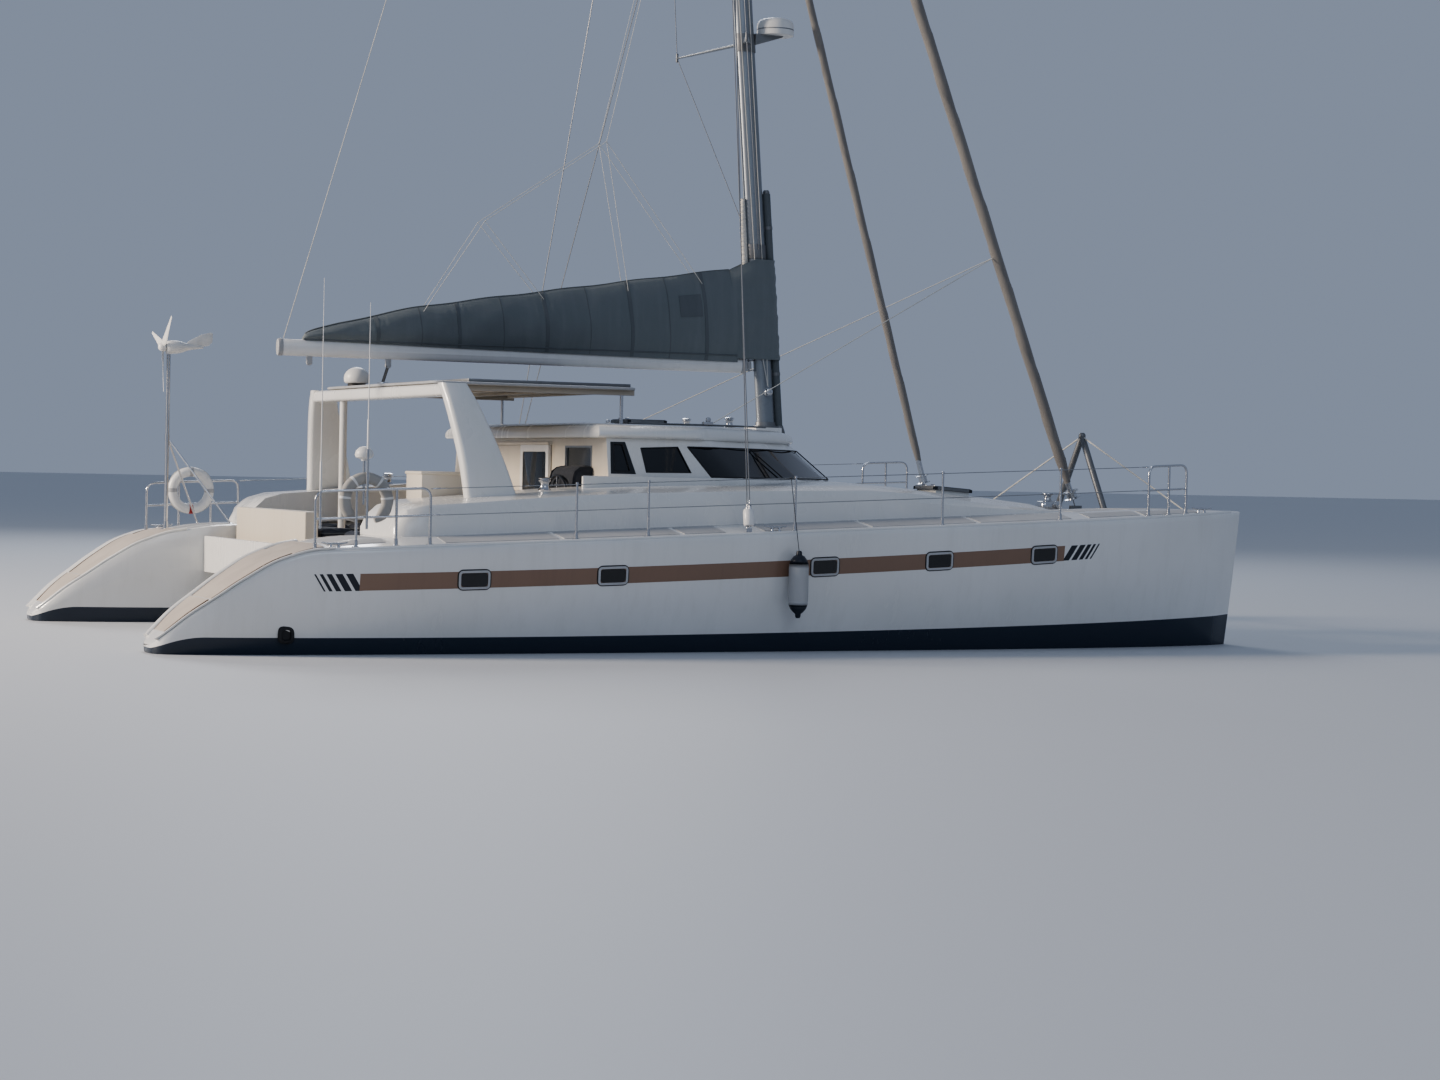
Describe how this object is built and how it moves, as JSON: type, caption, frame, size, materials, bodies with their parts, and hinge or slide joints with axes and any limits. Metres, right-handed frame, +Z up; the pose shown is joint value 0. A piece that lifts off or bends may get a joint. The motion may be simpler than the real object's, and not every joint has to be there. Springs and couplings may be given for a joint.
{
  "type": "cruising sailing catamaran",
  "caption": "Cruising sailing catamaran afloat: two hulls with a bridge deck, deckhouse, targa arch, swinging boom with sail bag, furled headsails, rudders, propellers and wind generator.",
  "frame": {"origin": "amidships on the centreline, on the waterline", "axes": "+X forward to the bows, +Y to port, +Z up"},
  "size_m": [13.4007, 7.935, 20.36],
  "materials": {
    "gelcoat": "gloss white gelcoat",
    "nonskid": "beige non-skid deck paint",
    "antifoul": "matt dark antifouling paint",
    "dark_glass": "dark tinted acrylic",
    "solar": "dark solar cells under glass",
    "mast_alloy": "grey anodised",
    "boom_alloy": "pale painted alloy",
    "alloy": "painted drive leg",
    "steel": "polished stainless steel",
    "canvas": "charcoal acrylic canvas",
    "rolled_sail": "dark sun strip of the rolled sails",
    "net": "white netting",
    "white_plastic": "white moulded plastic",
    "buoy_cover": "weathered grey buoy cover",
    "fender_vinyl": "white vinyl with navy ends",
    "vinyl": "dark navy upholstery",
    "bronze": "dull propeller bronze"
  },
  "bodies": {
    "boat": {"hull_starboard": "gelcoat", "hull_port": "gelcoat", "keel_starboard": "antifoul", "keel_port": "antifoul", "drive_leg_starboard": "alloy", "drive_leg_port": "alloy", "bridge_deck": "gelcoat", "deck_moulding": "gelcoat", "deckhouse": "gelcoat", "quarter_window_starboard": "dark_glass", "quarter_window_port": "dark_glass", "side_window_starboard": "dark_glass", "side_window_port": "dark_glass", "windscreen": "dark_glass", "cabin_roof": "gelcoat", "cockpit_seat_starboard": "nonskid", "cockpit_seat_port": "nonskid", "helm_console": "gelcoat", "helm_seat": "vinyl", "targa_arch": "gelcoat", "hard_top": "gelcoat", "solar_panels": "solar", "satellite_dome": "white_plastic", "mast": "mast_alloy", "radar": "white_plastic", "shrouds_starboard": "steel", "shrouds_port": "steel", "fore_beam": "boom_alloy", "trampoline_starboard": "net", "trampoline_port": "net", "windlass": "steel", "guard_rail_starboard": "steel", "guard_rail_port": "steel", "ring_buoy": "white_plastic", "horseshoe_buoy": "buoy_cover", "wind_pole": "steel", "fender": "fender_vinyl"},
    "boom_and_bag": {"boom": "boom_alloy", "sail_bag": "canvas"},
    "rudder_blade_starboard": {"rudder_starboard": "antifoul"},
    "rudder_blade_port": {"rudder_port": "antifoul"},
    "wheel": {"steering_wheel": "steel"},
    "screw_starboard": {"propeller_starboard": "bronze"},
    "screw_port": {"propeller_port": "bronze"},
    "sliding_door": {"saloon_door": "dark_glass"},
    "lid_fore_starboard": {"fore_hatch_starboard": "dark_glass"},
    "lid_fore_port": {"fore_hatch_port": "dark_glass"},
    "lid_roof": {"roof_hatch": "dark_glass"},
    "genoa_roll": {"furled_genoa": "rolled_sail"},
    "staysail_roll": {"furled_staysail": "rolled_sail"},
    "generator_head": {"wind_head": "white_plastic"},
    "generator_rotor": {"wind_rotor": "white_plastic"}
  },
  "joints": [
    {"name": "boom_swing", "type": "hinge", "parent": "boat", "child": "boom_and_bag", "pos_m": [1.46618, 0, 3.29], "axis": [-0.0837, 0, 0.9965], "range_deg": [-52, 52]},
    {"name": "rudder_turn_starboard", "type": "hinge", "parent": "boat", "child": "rudder_blade_starboard", "pos_m": [-4.55, -2.95, -0.3], "axis": [0, 0, 1], "range_deg": [-35, 35]},
    {"name": "rudder_turn_port", "type": "hinge", "parent": "boat", "child": "rudder_blade_port", "pos_m": [-4.55, 2.95, -0.3], "axis": [0, 0, 1], "range_deg": [-35, 35]},
    {"name": "wheel_turn", "type": "hinge", "parent": "boat", "child": "wheel", "pos_m": [-1.74, -1.7, 1.56], "axis": [1, 0, 0], "range_deg": [-450, 450]},
    {"name": "propeller_spin_starboard", "type": "hinge", "parent": "boat", "child": "screw_starboard", "pos_m": [-4, -2.95, -0.7], "axis": [1, 0, 0], "continuous": true},
    {"name": "propeller_spin_port", "type": "hinge", "parent": "boat", "child": "screw_port", "pos_m": [-4, 2.95, -0.7], "axis": [1, 0, 0], "continuous": true},
    {"name": "door_slide", "type": "slide", "parent": "boat", "child": "sliding_door", "axis": [0, 1, 0], "range_m": [0, 0.82]},
    {"name": "fore_hatch_lift_starboard", "type": "hinge", "parent": "boat", "child": "lid_fore_starboard", "pos_m": [3.46, -1.85, 1.777], "axis": [0, 1, 0], "range_deg": [0, 80]},
    {"name": "fore_hatch_lift_port", "type": "hinge", "parent": "boat", "child": "lid_fore_port", "pos_m": [3.46, 1.85, 1.777], "axis": [0, 1, 0], "range_deg": [0, 80]},
    {"name": "roof_hatch_lift", "type": "hinge", "parent": "boat", "child": "lid_roof", "pos_m": [0.26, 0, 2.535], "axis": [0, 1, 0], "range_deg": [0, 80]},
    {"name": "genoa_furl", "type": "hinge", "parent": "boat", "child": "genoa_roll", "pos_m": [6.26, 0, 1.64], "axis": [-0.3718, 0, 0.9283], "continuous": true},
    {"name": "staysail_furl", "type": "hinge", "parent": "boat", "child": "staysail_roll", "pos_m": [4.01, 0, 1.8], "axis": [-0.2875, 0, 0.9578], "continuous": true},
    {"name": "generator_yaw", "type": "hinge", "parent": "boat", "child": "generator_head", "pos_m": [-5.06, 2.9, 3.36], "axis": [0, 0, 1], "continuous": true},
    {"name": "generator_spin", "type": "hinge", "parent": "generator_head", "child": "generator_rotor", "pos_m": [-5.06, 2.9, 3.36], "axis": [1, 0, 0], "continuous": true}
  ],
  "couplings": [
    {"joint": "rudder_turn_port", "follows": "rudder_turn_starboard", "ratio": 1},
    {"joint": "wheel_turn", "follows": "rudder_turn_starboard", "ratio": 12.857}
  ]
}
